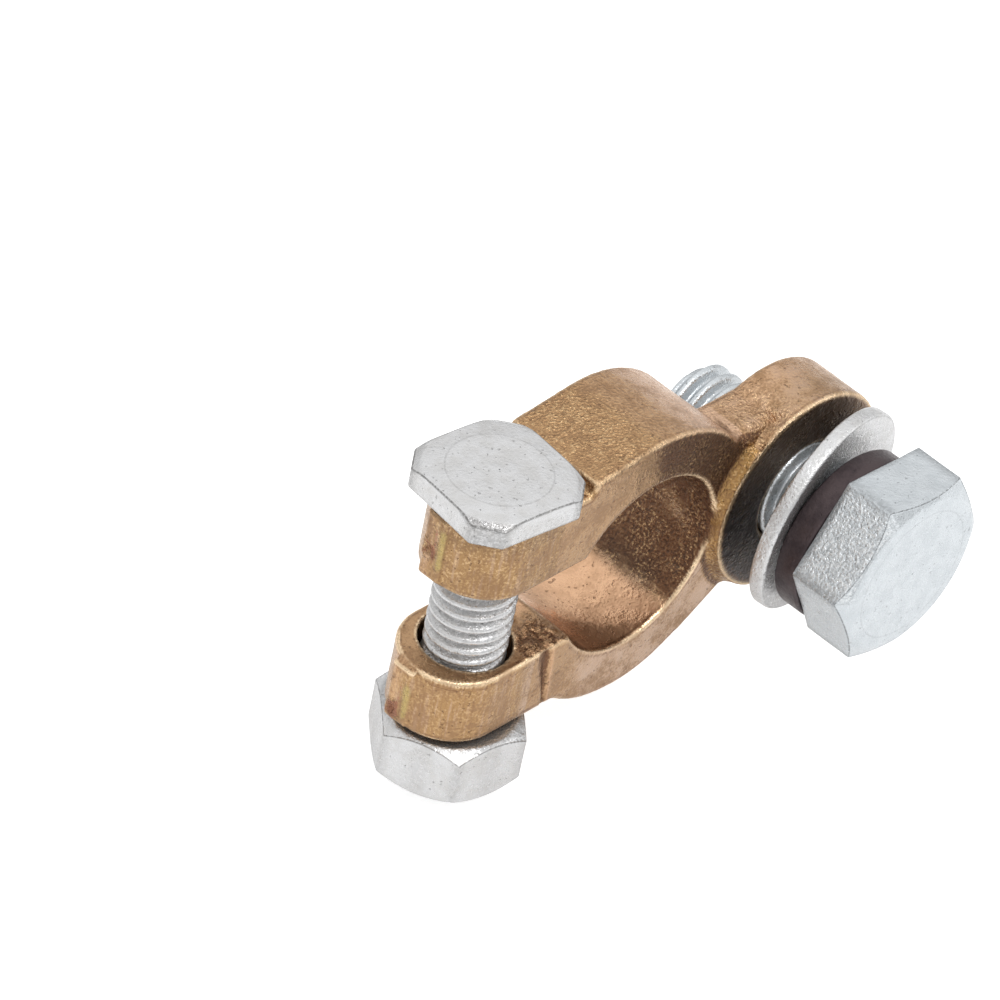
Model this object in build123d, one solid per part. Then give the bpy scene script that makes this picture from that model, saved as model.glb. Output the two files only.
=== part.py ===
from build123d import *
from math import cos, radians, sin, sqrt, tan
import os

# Battery terminal clamp: one brass casting with its clamp bolt and nut, and the bolt and
# washers that hold the cable's lug. Millimetres.
# The origin is the centre of the post bore. +Y runs along the bore, from the side with the
# cable bolt's head to the other side. +Z runs up the clamp bolt to its head, and +X runs
# from the bore to the cable eye.

# ---- driving dimensions ----

# ring round the battery post
post_bore_radius = 7.10
ring_radius = 11.06
ring_shift = -0.29              # the outer circle's centre, along X from the bore's
ring_width = 8.37

# slit and ears
slit_gap = 7.06
clamp_bolt_reach = 12.28        # from the bore's axis to the clamp bolt's axis
upper_ear_thickness = 5.95
lower_ear_thickness = 5.45
upper_ear_overhang = 4.39       # from the clamp bolt's axis to the ear's tip
lower_ear_overhang = 5.04
ear_hole_clearance = 0.35
ear_root_fillet = 1.0

# shoulder that keeps the square head from turning
shoulder_slope = 6.5            # degrees down from the ring's top
shoulder_draft = 12.0           # degrees that its wall leans
shoulder_clearance = 0.10       # to the nearest corner of the square head

# gate scars down the two ear tips
gate_width = 1.9
gate_offset = 0.6
gate_proud = 0.30

# eye for the cable, and the neck that joins it to the ring
eye_reach = 15.29               # from the bore's axis to the eye's axis
eye_radius = 8.03
eye_thickness = 5.13
eye_proud = 0.88                # how far the eye's front stands out of the ring's front
neck_height = 7.30
neck_low_angle = 56.0           # degrees below +X where the lower flank leaves the ring
rim_fillet = 0.30

# clamp bolt, M6 with a square head
clamp_shank_radius = 2.95
clamp_shank_length = 25.0
square_head_width = 9.8
square_head_thickness = 2.0
square_head_corner = 1.58
square_head_turn = -6.5         # degrees about Z
square_head_chamfer = 0.40      # its height at the corners

# nut on the clamp bolt
nut_flats = 10.0
nut_height = 4.8
nut_gap = 0.45                  # between the nut and the lower ear
nut_turn = -5.6                 # degrees about Z
nut_chamfer = 0.80

# cable bolt, M8 with a hexagon head
cable_shank_radius = 3.95
cable_shank_length = 17.35
cable_bolt_backoff = 6.14       # from the eye's front to the underside of the head
hex_head_flats = 13.0
hex_head_height = 4.75
hex_head_turn = -2.5            # degrees from +X towards +Z
hex_head_chamfer = 0.80

# washers, loose on the cable bolt; directions in degrees from +X towards +Z
flat_washer_radius = 8.0
flat_washer_bore_radius = 4.20
flat_washer_thickness = 1.2
flat_washer_lean = 9.4
flat_washer_lean_direction = -19.4
spring_washer_radius = 6.4
spring_washer_bore_radius = 4.40
spring_washer_thickness = 2.05
spring_washer_drop_direction = 225.0
spring_washer_split = 1.0       # width of its gap
spring_washer_split_direction = -30.0
washer_clearance = 0.05         # between washers, head and shank

# threads run in their holes with this much clearance on the radius
thread_clearance = 0.05
thread_end_chamfer = 0.70
chamfer_angle = 30.0

# ---- places that follow from them ----

half_width = ring_width / 2
slit_top = slit_gap / 2
upper_ear_top = slit_top + upper_ear_thickness
lower_ear_bottom = -slit_top - lower_ear_thickness
eye_front = -half_width - eye_proud
eye_back = eye_front + eye_thickness
cable_head_seat = eye_front - cable_bolt_backoff
nut_top = lower_ear_bottom - nut_gap
nut_bottom = nut_top - nut_height


# ---- helpers ----

def across_width(profile, front, back):
    """Extrude an (x, z) profile along Y, from front to back."""
    plane = Plane(origin=(0, back, 0), x_dir=(1, 0, 0), z_dir=(0, -1, 0))
    return extrude(plane * profile, amount=back - front)


def chamfered_head(profile, corner_radius, height, chamfer):
    """A bolt head or nut: seat at z = 0, the corners of its far face cut by a flat cone."""
    spread = 1 / tan(radians(chamfer_angle))
    face_radius = corner_radius - chamfer * spread
    cone = Cone(face_radius + height * spread, face_radius, height)
    return extrude(profile, amount=height) & Pos(0, 0, height / 2) * cone


def shank(radius, length):
    """A bolt's shank from z = 0 down, at the size of the thread's crests."""
    body = Pos(0, 0, -length / 2) * Cylinder(radius, length)
    end = body.edges().sort_by(Axis.Z)[0]
    return chamfer(end, thread_end_chamfer)


def washer(radius, bore_radius, thickness):
    """A flat ring, half its thickness either side of z = 0."""
    return Cylinder(radius, thickness) - Cylinder(bore_radius, 2 * thickness)


def plane_across_bolt(x, y, z):
    """A plane across the cable bolt, facing its head, with its own x along +X."""
    return Plane(origin=(x, y, z), x_dir=(1, 0, 0), z_dir=(0, -1, 0))


def square_head_outline():
    """The square head seen along the clamp bolt, with its corners cut."""
    square = Rectangle(square_head_width, square_head_width)
    square = chamfer(square.vertices(), square_head_corner)
    return Rot(0, 0, square_head_turn) * square


# ---- the casting ----

def ring_profile():
    """The ring and the shoulder on top of it, before the bore and slit are cut."""
    slope = radians(shoulder_slope)
    leave_x = ring_shift - ring_radius * sin(slope)
    leave_z = ring_radius * cos(slope)
    head_side = max(vertex.X for vertex in square_head_outline().vertices())
    foot_x = -clamp_bolt_reach + head_side + shoulder_clearance
    drop = tan(slope)
    lean = tan(radians(shoulder_draft))
    wall_height = (leave_z - upper_ear_top - drop * (leave_x - foot_x)) / (1 - drop * lean)
    corner = (foot_x + lean * wall_height, upper_ear_top + wall_height)
    outline = Polyline(
        (leave_x, leave_z), corner, (foot_x, upper_ear_top), (foot_x, 0), (leave_x, 0),
        close=True,
    )
    return Pos(ring_shift, 0) * Circle(ring_radius) + make_face(outline)


def neck_profile():
    """The neck between the ring and the eye."""
    angle = radians(neck_low_angle)
    low = (ring_shift + ring_radius * cos(angle), -ring_radius * sin(angle))
    run = (eye_reach - low[0]) / 2
    low_end = (low[0] + run, low[1] + run / tan(angle))
    top_start = (ring_shift + sqrt(ring_radius**2 - neck_height**2), neck_height)
    top_end = (eye_reach, neck_height)
    outline = Polyline(
        (post_bore_radius, 0), low, low_end, (eye_reach, 0), top_end, top_start,
        close=True,
    )
    return make_face(outline)


def ear_bar(overhang, low, high):
    """The straight part of an ear in the (x, z) profile, cut to length by its tip later."""
    length = clamp_bolt_reach + overhang
    return Pos(-length / 2, (low + high) / 2) * Rectangle(length, high - low)


def with_round_tip(body, overhang, low, high):
    """Give one ear its half-round tip, whose rims run on from the straight part's."""
    centre = Pos(-clamp_bolt_reach - overhang + half_width, 0, (low + high) / 2)
    tip = Cylinder(half_width, high - low)
    tip = fillet(tip.edges().filter_by(GeomType.CIRCLE), rim_fillet)
    beyond = Box(
        2 * half_width, 2 * ring_width, high - low + slit_gap / 2,
        align=(Align.MAX, Align.CENTER, Align.CENTER),
    )
    return body - centre * beyond + centre * (tip & beyond)


def gate_scar(overhang, low, high):
    """The narrow raised band where the gate was broken off an ear's tip."""
    depth = 4 * gate_proud
    band = Box(depth, gate_width, high - low - 2 * rim_fillet)
    band = fillet(band.edges().filter_by(Axis.Z), gate_proud / 2)
    tip = -clamp_bolt_reach - overhang - gate_proud
    return Pos(tip + depth / 2, gate_offset, (low + high) / 2) * band


def ring_with_ears():
    """The split ring and the straight parts of its ears, across the full width."""
    profile = ring_profile()
    profile += ear_bar(upper_ear_overhang, slit_top, upper_ear_top)
    profile += ear_bar(lower_ear_overhang, lower_ear_bottom, -slit_top)
    root_x = ring_shift - sqrt(ring_radius**2 - lower_ear_bottom**2)
    root = profile.vertices().sort_by_distance((root_x, lower_ear_bottom))[0]
    profile = fillet(root, ear_root_fillet)
    slit_length = clamp_bolt_reach + lower_ear_overhang
    profile -= Circle(post_bore_radius)
    profile -= Pos(-slit_length / 2, 0) * Rectangle(slit_length, slit_gap)
    body = across_width(profile, -half_width, half_width)
    rims = body.edges().group_by(Axis.Y)
    return fillet(rims[0] + rims[-1], rim_fillet)


def eye():
    """The round boss that takes the cable bolt."""
    disc = across_width(Pos(eye_reach, 0) * Circle(eye_radius), eye_front, eye_back)
    return fillet(disc.edges().filter_by(GeomType.CIRCLE), rim_fillet)


def clamp_body():
    """The brass casting: ring, two ears, neck and eye in one piece."""
    body = ring_with_ears()
    for overhang, low, high in (
        (upper_ear_overhang, slit_top, upper_ear_top),
        (lower_ear_overhang, lower_ear_bottom, -slit_top),
    ):
        body = with_round_tip(body, overhang, low, high)
        body += gate_scar(overhang, low, high)
    body += across_width(neck_profile(), -half_width, eye_back) + eye()
    bore = across_width(Circle(post_bore_radius), eye_front, half_width)
    ear_hole = Cylinder(clamp_shank_radius + ear_hole_clearance, 4 * ring_radius)
    eye_hole = Pos(eye_reach, 0) * Circle(cable_shank_radius + thread_clearance)
    body -= bore + Pos(-clamp_bolt_reach, 0, 0) * ear_hole
    return body - across_width(eye_hole, eye_front, eye_back)


# ---- the hardware ----

def clamp_bolt():
    """Square-headed bolt, its head seated on the upper ear."""
    corner = square_head_width / 2 - square_head_corner
    corner_radius = sqrt((square_head_width / 2) ** 2 + corner**2)
    head = chamfered_head(
        square_head_outline(), corner_radius, square_head_thickness, square_head_chamfer
    )
    bolt = head + shank(clamp_shank_radius, clamp_shank_length)
    return Pos(-clamp_bolt_reach, 0, upper_ear_top) * bolt


def clamp_nut():
    """Hexagon nut, chamfered on both faces, just under the lower ear."""
    corner_radius = nut_flats / 2 / cos(radians(30))
    outline = RegularPolygon(corner_radius, 6, rotation=nut_turn)
    half = chamfered_head(outline, corner_radius, nut_height / 2, nut_chamfer)
    nut = half + mirror(half, about=Plane.XY)
    nut -= Cylinder(clamp_shank_radius + thread_clearance, 2 * nut_height)
    return Pos(-clamp_bolt_reach, 0, nut_bottom + nut_height / 2) * nut


def cable_bolt():
    """Hexagon-headed bolt through the eye, not yet screwed down."""
    corner_radius = hex_head_flats / 2 / cos(radians(30))
    outline = RegularPolygon(corner_radius, 6, rotation=hex_head_turn)
    head = chamfered_head(outline, corner_radius, hex_head_height, hex_head_chamfer)
    bolt = head + shank(cable_shank_radius, cable_shank_length)
    return plane_across_bolt(eye_reach, cable_head_seat, 0) * bolt


def spring_washer_drop():
    """How far the spring washer hangs off the bolt's axis, until its bore meets the shank."""
    return spring_washer_bore_radius - cable_shank_radius - washer_clearance


def spring_washer():
    """Split ring against the head."""
    ring = washer(spring_washer_radius, spring_washer_bore_radius, spring_washer_thickness)
    split = Box(
        2 * spring_washer_radius, spring_washer_split, 2 * spring_washer_thickness,
        align=(Align.MIN, Align.CENTER, Align.CENTER),
    )
    ring -= Rot(0, 0, spring_washer_split_direction) * split
    drop = spring_washer_drop()
    direction = radians(spring_washer_drop_direction)
    middle = cable_head_seat + washer_clearance + spring_washer_thickness / 2
    place = plane_across_bolt(eye_reach + drop * cos(direction), middle, drop * sin(direction))
    return place * ring


def flat_washer():
    """Flat ring between the spring washer and the eye, one edge on the spring washer."""
    lean = radians(flat_washer_lean)
    direction = radians(flat_washer_lean_direction)
    seat = cable_head_seat + spring_washer_thickness + 2 * washer_clearance
    off_line = radians(spring_washer_drop_direction) - direction
    reach = spring_washer_radius + spring_washer_drop() * cos(off_line)
    middle = seat + reach * tan(lean) + flat_washer_thickness / 2 / cos(lean)
    normal = (sin(lean) * cos(direction), -cos(lean), sin(lean) * sin(direction))
    ring = washer(flat_washer_radius, flat_washer_bore_radius, flat_washer_thickness)
    return Plane(origin=(eye_reach, middle, 0), z_dir=normal) * ring


os.makedirs("parts", exist_ok=True)
export_step(clamp_body(), "parts/clamp_body.step")
export_step(clamp_bolt(), "parts/clamp_bolt.step")
export_step(clamp_nut(), "parts/clamp_nut.step")
export_step(cable_bolt(), "parts/cable_bolt.step")
export_step(spring_washer(), "parts/spring_washer.step")
export_step(flat_washer(), "parts/flat_washer.step")
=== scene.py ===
import math
import bpy
import bmesh
from mathutils import Matrix, Vector, noise


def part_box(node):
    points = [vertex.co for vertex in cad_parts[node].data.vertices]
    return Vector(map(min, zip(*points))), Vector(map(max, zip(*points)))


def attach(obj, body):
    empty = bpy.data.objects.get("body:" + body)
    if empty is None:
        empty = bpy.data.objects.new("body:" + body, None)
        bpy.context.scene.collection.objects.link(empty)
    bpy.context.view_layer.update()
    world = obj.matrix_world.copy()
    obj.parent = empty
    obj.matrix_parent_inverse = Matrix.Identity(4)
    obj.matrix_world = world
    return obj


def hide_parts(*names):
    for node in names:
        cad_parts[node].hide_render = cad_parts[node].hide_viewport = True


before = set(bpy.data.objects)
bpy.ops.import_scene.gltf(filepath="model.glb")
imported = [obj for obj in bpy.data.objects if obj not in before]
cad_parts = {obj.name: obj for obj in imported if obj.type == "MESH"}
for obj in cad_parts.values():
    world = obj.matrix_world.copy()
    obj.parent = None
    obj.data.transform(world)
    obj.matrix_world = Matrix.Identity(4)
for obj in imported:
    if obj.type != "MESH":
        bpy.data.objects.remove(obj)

noise.seed_set(1)  # otherwise noise_vector starts from the clock
mm = 0.001
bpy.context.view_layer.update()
scene = bpy.context.scene
scene.view_settings.view_transform = "Standard"


def nodeBox(name):
    low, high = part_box(name)
    return Vector(low), Vector(high)


boltLow, boltHigh = nodeBox("clamp_bolt")
nutLow, nutHigh = nodeBox("clamp_nut")
cableLow, cableHigh = nodeBox("cable_bolt")
bodyLow = nodeBox("clamp_body")[0]

clampAxis = Vector(((boltLow.x + boltHigh.x) / 2, 0, 0))
cableAxis = Vector(((cableLow.x + cableHigh.x) / 2, 0, 0))

print("frame read")


def newGroup(name, inputs, outputs):
    group = bpy.data.node_groups.new(name, "ShaderNodeTree")
    for socketName, kind, value in inputs:
        socket = group.interface.new_socket(name=socketName, in_out="INPUT", socket_type=kind)
        socket.default_value = value
    for socketName, kind in outputs:
        group.interface.new_socket(name=socketName, in_out="OUTPUT", socket_type=kind)
    return group, group.nodes.new("NodeGroupInput"), group.nodes.new("NodeGroupOutput")


def addNode(tree, kind, **settings):
    node = tree.nodes.new(kind)
    for key, value in settings.items():
        setattr(node, key, value)
    return node


def setInput(tree, node, key, value):
    if isinstance(value, bpy.types.NodeSocket):
        tree.links.new(value, node.inputs[key])
    else:
        node.inputs[key].default_value = value


def mathNode(tree, operation, first, second=0.0, clamp=False):
    node = addNode(tree, "ShaderNodeMath", operation=operation, use_clamp=clamp)
    setInput(tree, node, 0, first)
    setInput(tree, node, 1, second)
    return node.outputs[0]


def times(tree, first, second, clamp=False):
    return mathNode(tree, "MULTIPLY", first, second, clamp)


def plus(tree, first, second):
    return mathNode(tree, "ADD", first, second)


def noiseNode(tree, vector, scale, detail=3.0, roughness=0.55):
    node = addNode(tree, "ShaderNodeTexNoise")
    setInput(tree, node, "Vector", vector)
    setInput(tree, node, "Scale", scale)
    setInput(tree, node, "Detail", detail)
    setInput(tree, node, "Roughness", roughness)
    return node.outputs["Fac"]


# the object's own coordinates, squeezed so that a noise is drawn out along one axis
def objectSpot(tree, squeeze=None):
    where = addNode(tree, "ShaderNodeTexCoord").outputs["Object"]
    if squeeze is None:
        return where
    node = addNode(tree, "ShaderNodeMapping")
    setInput(tree, node, "Vector", where)
    node.inputs["Scale"].default_value = squeeze
    return node.outputs[0]


def rangeNode(tree, value, low, high, newLow=0.0, newHigh=1.0):
    node = addNode(tree, "ShaderNodeMapRange", interpolation_type="SMOOTHSTEP")
    for key, item in (("Value", value), ("From Min", low), ("From Max", high),
                      ("To Min", newLow), ("To Max", newHigh)):
        setInput(tree, node, key, item)
    return node.outputs["Result"]


def mixColour(tree, factor, first, second):
    node = addNode(tree, "ShaderNodeMix", data_type="RGBA")
    setInput(tree, node, 0, factor)
    setInput(tree, node, 6, first)
    setInput(tree, node, 7, second)
    return node.outputs[2]


# lays one more tint over a colour, where a mask says so
def coat(tree, colour, mask, tint, amount=1.0):
    share = mask if amount == 1.0 else times(tree, mask, amount)
    return mixColour(tree, share, colour, tint)


def attributeValue(tree, name):
    return addNode(tree, "ShaderNodeAttribute", attribute_name=name).outputs["Fac"]


# mottling, grain, streaks along Z, pits and the bump height of a metal skin
def buildMetalSkin():
    group, inside, outside = newGroup(
        "metalSkin",
        [("Mottle Scale", "NodeSocketFloat", 600.0), ("Grain Scale", "NodeSocketFloat", 5000.0),
         ("Pit Scale", "NodeSocketFloat", 3000.0), ("Pit Level", "NodeSocketFloat", 0.70)],
        [("Mottle", "NodeSocketFloat"), ("Grain", "NodeSocketFloat"), ("Streaks", "NodeSocketFloat"),
         ("Pits", "NodeSocketFloat"), ("Height", "NodeSocketFloat")],
    )
    where = objectSpot(group)
    drawnOut = objectSpot(group, (1, 1, 0.1))
    mottle = noiseNode(group, where, inside.outputs["Mottle Scale"], 4.0, 0.6)
    grain = noiseNode(group, where, inside.outputs["Grain Scale"], 2.0, 0.6)
    streaks = noiseNode(group, drawnOut, inside.outputs["Pit Scale"], 2.0, 0.6)
    pitNoise = noiseNode(group, where, inside.outputs["Pit Scale"], 1.0, 0.4)
    level = inside.outputs["Pit Level"]
    pits = rangeNode(group, pitNoise, level, plus(group, level, 0.05))
    height = mathNode(group, "SUBTRACT", times(group, grain, 0.6), pits)
    height = plus(group, height, times(group, mottle, 1.6))
    for key, value in (("Mottle", mottle), ("Grain", grain), ("Streaks", streaks), ("Pits", pits),
                       ("Height", height)):
        group.links.new(value, outside.inputs[key])
    return group


metalSkin = buildMetalSkin()


def placeSkin(tree, look):
    node = addNode(tree, "ShaderNodeGroup", node_tree=metalSkin)
    setInput(tree, node, "Mottle Scale", look["mottleScale"])
    setInput(tree, node, "Grain Scale", look["grainScale"])
    setInput(tree, node, "Pit Scale", look["pitScale"])
    setInput(tree, node, "Pit Level", look["pitLevel"])
    return [node.outputs[key] for key in ("Mottle", "Grain", "Streaks", "Pits", "Height")]


def newMaterial(name):
    material = bpy.data.materials.new(name)
    material.use_nodes = True
    tree = material.node_tree
    return material, tree, tree.nodes["Principled BSDF"]


def addBump(tree, shader, height, look):
    bump = addNode(tree, "ShaderNodeBump")
    setInput(tree, bump, "Height", height)
    setInput(tree, bump, "Strength", look["bump"])
    setInput(tree, bump, "Distance", look["bumpHeight"])
    tree.links.new(bump.outputs["Normal"], shader.inputs["Normal"])


# a painted field whose border is broken up by noise
def brokenMask(tree, field, noiseValue, spread, low=0.40, high=0.60):
    moved = times(tree, mathNode(tree, "SUBTRACT", noiseValue, 0.5), spread)
    return rangeNode(tree, plus(tree, field, moved), low, high)


# noise scales are in features per metre, and bumpHeight is in metres
# the lit colour is for painted highlights, dark for painted shade and for pits, and the near-black for painted
# shadow
brassLook = {
    "tan": (0.46, 0.283, 0.152, 1), "brown": (0.30, 0.170, 0.088, 1), "gold": (0.42, 0.252, 0.115, 1),
    "fleck": (0.74, 0.51, 0.28, 1), "rosy": (0.60, 0.420, 0.305, 1), "lit": (0.80, 0.490, 0.300, 1),
    "dark": (0.185, 0.093, 0.050, 1), "amber": (0.44, 0.235, 0.060, 1), "soot": (0.046, 0.035, 0.031, 1),
    "wearAndHighlight": (0.92, 0.70, 0.46, 1), "scarRed": (0.38, 0.185, 0.115, 1), "scarYellow": (0.53, 0.40, 0.155, 1),
    "mottleScale": 550.0, "grainScale": 4800.0, "pitScale": 3200.0, "pitLevel": 0.69,
    "spikeScale": 3000.0, "spikeSqueeze": 0.22, "metallic": 0.9, "roughness": 0.26,
    "bump": 0.9, "bumpHeight": 0.00006, "gritBump": 4.0,
}


def makeBrass():
    look = brassLook
    material, tree, shader = newMaterial("castBrass")
    mottle, grain, streaks, pits, height = placeSkin(tree, look)
    gold, amber, rosy, lit, dark, soot, grit, brushed, edge, rim, scarRed, scarYellow = (
        attributeValue(tree, key) for key in ("gold", "amber", "rosy", "lit", "dark", "soot", "grit", "brushed",
                                              "edge", "rim", "scarRed", "scarYellow"))
    # the clean metal with its painted highlight, and streaks where it is brushed
    colour = mixColour(tree, brokenMask(tree, gold, mottle, 1.2, 0.3, 0.8), look["tan"], look["gold"])
    colour = coat(tree, colour, brokenMask(tree, rosy, mottle, 0.8, 0.3, 0.8), look["rosy"])
    colour = coat(tree, colour, lit, look["lit"])
    colour = coat(tree, colour, amber, look["amber"])
    brightLines = times(tree, rangeNode(tree, streaks, 0.52, 0.66), brushed)
    colour = coat(tree, colour, brightLines, look["rosy"], 0.5)
    darkLines = times(tree, rangeNode(tree, streaks, 0.45, 0.34), brushed)
    colour = coat(tree, colour, darkLines, look["brown"], 0.6)
    # brown stains, fewer under the painted highlight
    blend = plus(tree, times(tree, mottle, 0.55), times(tree, grain, 0.45))
    browned = times(tree, rangeNode(tree, blend, 0.53, 0.42, 0.0, 0.62),
                    rangeNode(tree, lit, 0.2, 0.8, 1.0, 0.3))
    colour = coat(tree, colour, browned, look["brown"])
    # painted shade with ragged borders, dark specks in it, and painted shadow
    spikes = noiseNode(tree, objectSpot(tree, (1, look["spikeSqueeze"], 1)), look["spikeScale"], 2.0)
    ragged = plus(tree, times(tree, spikes, 0.55), times(tree, grain, 0.45))
    darkMask = times(tree, brokenMask(tree, dark, ragged, 2.0, 0.42, 0.80),
                     rangeNode(tree, lit, 0.4, 0.9, 1.0, 0.54))
    colour = coat(tree, colour, darkMask, look["dark"])
    specks = times(tree, rangeNode(tree, grain, 0.48, 0.38), times(tree, grit, dark), True)
    colour = coat(tree, colour, specks, look["soot"])
    colour = coat(tree, colour, soot, look["soot"])
    # bright flecks and dark pits
    fleckField = mathNode(tree, "MAXIMUM", times(tree, gold, 0.7), grit)
    flecks = times(tree, rangeNode(tree, grain, 0.52, 0.66), fleckField)
    flecks = times(tree, flecks, rangeNode(tree, mottle, 0.40, 0.56, 0.2, 1.0), True)
    colour = coat(tree, colour, flecks, look["fleck"])
    colour = coat(tree, colour, pits, look["dark"], 0.55)
    # the scars on the ear tips
    colour = coat(tree, colour, brokenMask(tree, scarRed, grain, 0.8), look["scarRed"])
    colour = coat(tree, colour, brokenMask(tree, scarYellow, mottle, 1.0, 0.25, 0.85), look["scarYellow"], 0.85)
    # a painted shade line beside each edge, and the edge itself, worn bright and painted as a highlight
    colour = coat(tree, colour, times(tree, rim, rangeNode(tree, mottle, 0.42, 0.58, 0.15, 0.75)), look["dark"])
    colour = coat(tree, colour, times(tree, edge, rangeNode(tree, mottle, 0.30, 0.55, 0.4, 1.0)), look["wearAndHighlight"])
    tree.links.new(colour, shader.inputs["Base Color"])
    shine = rangeNode(tree, mottle, 0.3, 0.7, look["roughness"] + 0.10, look["roughness"] - 0.06)
    tree.links.new(shine, shader.inputs["Roughness"])
    shader.inputs["Metallic"].default_value = look["metallic"]
    rough = times(tree, times(tree, grain, grit), look["gritBump"])
    addBump(tree, shader, plus(tree, height, rough), look)
    return material


platedLook = {"mottleScale": 700.0, "grainScale": 5200.0, "pitScale": 3600.0, "struckScale": 4200.0,
              "bumpHeight": 0.00007}
zincLook = {
    **platedLook, "pale": (0.665, 0.665, 0.670, 1), "grey": (0.615, 0.610, 0.605, 1),
    "pitAndShade": (0.20, 0.19, 0.185, 1), "crease": (0.15, 0.145, 0.14, 1), "struckHighlight": (0.90, 0.90, 0.90, 1),
    "pitLevel": 0.72, "metallic": 0.85, "roughness": 0.30, "bump": 0.9,
}
blueZincLook = {
    **platedLook, "pale": (0.625, 0.660, 0.685, 1), "grey": (0.575, 0.610, 0.635, 1),
    "pitAndShade": (0.20, 0.20, 0.205, 1), "crease": (0.15, 0.155, 0.16, 1), "struckHighlight": (0.90, 0.92, 0.93, 1),
    "pitLevel": 0.73, "metallic": 0.85, "roughness": 0.30, "bump": 0.9,
}
darkLook = {
    **platedLook, "pale": (0.075, 0.055, 0.057, 1), "grey": (0.050, 0.036, 0.039, 1),
    "pitAndShade": (0.02, 0.016, 0.016, 1), "crease": (0.02, 0.016, 0.016, 1), "struckHighlight": (0.12, 0.10, 0.10, 1),
    "pitLevel": 0.74, "metallic": 0.7, "roughness": 0.36, "bump": 0.6,
}


# plated steel: struck rough where grit is painted, with patches of painted shade and painted shade lines along
# its creases
def makePlated(name, look):
    material, tree, shader = newMaterial(name)
    mottle, grain, _, pits, height = placeSkin(tree, look)  # no streaks on plated steel
    crease, grit, paintedShade = (attributeValue(tree, key) for key in ("crease", "grit", "paintedShade"))
    dents = noiseNode(tree, objectSpot(tree), look["struckScale"], 2.0)
    tops = times(tree, rangeNode(tree, dents, 0.46, 0.60), grit, True)
    hollows = times(tree, rangeNode(tree, dents, 0.44, 0.34), grit, True)
    colour = mixColour(tree, rangeNode(tree, mottle, 0.36, 0.60), look["grey"], look["pale"])
    # the struck dents: bright tops and dark hollows, partly the metal's own tone and partly painted highlight
    # and shade
    colour = coat(tree, colour, tops, look["struckHighlight"], 0.5)
    colour = coat(tree, colour, hollows, look["pitAndShade"], 0.22)
    # painted shade, as much as each vertex asks for
    shadeShare = times(tree, paintedShade, rangeNode(tree, grain, 0.36, 0.60, 0.25, 1.0))
    colour = coat(tree, colour, shadeShare, look["pitAndShade"], 0.85)
    colour = coat(tree, colour, pits, look["pitAndShade"], 0.4)
    # painted shade lines along the creases
    lines = times(tree, crease, rangeNode(tree, grain, 0.38, 0.56, 0.45, 1.0))
    colour = coat(tree, colour, lines, look["crease"])
    tree.links.new(colour, shader.inputs["Base Color"])
    shine = rangeNode(tree, grain, 0.3, 0.7, look["roughness"] - 0.05, look["roughness"] + 0.08)
    tree.links.new(shine, shader.inputs["Roughness"])
    shader.inputs["Metallic"].default_value = look["metallic"]
    relief = plus(tree, times(tree, grain, 1.5), times(tree, dents, 2.1))
    addBump(tree, shader, plus(tree, height, times(tree, relief, grit)), look)
    return material


brass = makeBrass()
zinc = makePlated("zincPlate", zincLook)
blueZinc = makePlated("blueZincPlate", blueZincLook)
darkSteel = makePlated("darkSteel", darkLook)
print("materials made")


# how near a head's vertex is to an upright corner, from 0 to 1
def cornerLine(spot, outline):
    reach = max(point.length for point in outline)
    return smoothStep(math.hypot(spot[0], spot[1]), reach - 0.10, reach - 0.02)


# puts numbers, one for each vertex, where the materials read them
def paintPiece(mesh, values):
    for key, numbers in values.items():
        layer = mesh.attributes.new(key, "FLOAT", "POINT")
        layer.data.foreach_set("value", numbers)


# how sharply the surface bends outward at each vertex
def outwardBends(mesh):
    total = [0.0] * len(mesh.vertices)
    count = [0] * len(mesh.vertices)
    places = [vertex.co for vertex in mesh.vertices]
    normals = [vertex.normal for vertex in mesh.vertices]
    for link in mesh.edges:
        first, second = link.vertices
        step = (places[second] - places[first]).normalized()
        total[first] -= step.dot(normals[first])
        total[second] += step.dot(normals[second])
        count[first] += 1
        count[second] += 1
    bends = [value / max(number, 1) for value, number in zip(total, count)]
    spread = list(bends)
    for link in mesh.edges:
        first, second = link.vertices
        spread[first] += bends[second]
        spread[second] += bends[first]
    return [value / (number + 1) for value, number in zip(spread, count)]


def smoothStep(value, low, high):
    share = min(max((value - low) / (high - low), 0.0), 1.0)
    return share * share * (3 - 2 * share)


# 1 between low and high, falling to 0 over the margin on both sides
def zone(value, low, high, margin):
    return smoothStep(value, low - margin, low + margin) * smoothStep(-value, -high - margin, -high + margin)


# vertices in metres, moved by place; the faces are turned outward and shaded smooth
def meshPiece(name, vertices, faces, material, place=Matrix()):
    mesh = bpy.data.meshes.new(name)
    mesh.from_pydata([tuple(place @ Vector(vertex)) for vertex in vertices], [], faces)
    mesh.validate()
    tidy = bmesh.new()
    tidy.from_mesh(mesh)
    bmesh.ops.recalc_face_normals(tidy, faces=tidy.faces)
    tidy.to_mesh(mesh)
    tidy.free()
    for polygon in mesh.polygons:
        polygon.use_smooth = True
    mesh.materials.append(material)
    piece = bpy.data.objects.new(name, mesh)
    scene.collection.objects.link(piece)
    return piece


# skin over a list of closed rings that all have the same number of points
def ringFaces(first, ringCount, pointCount):
    faces = []
    for ring in range(ringCount - 1):
        base = first + ring * pointCount
        for point in range(pointCount):
            after = (point + 1) % pointCount
            faces.append((base + point, base + after, base + pointCount + after, base + pointCount + point))
    return faces


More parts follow.
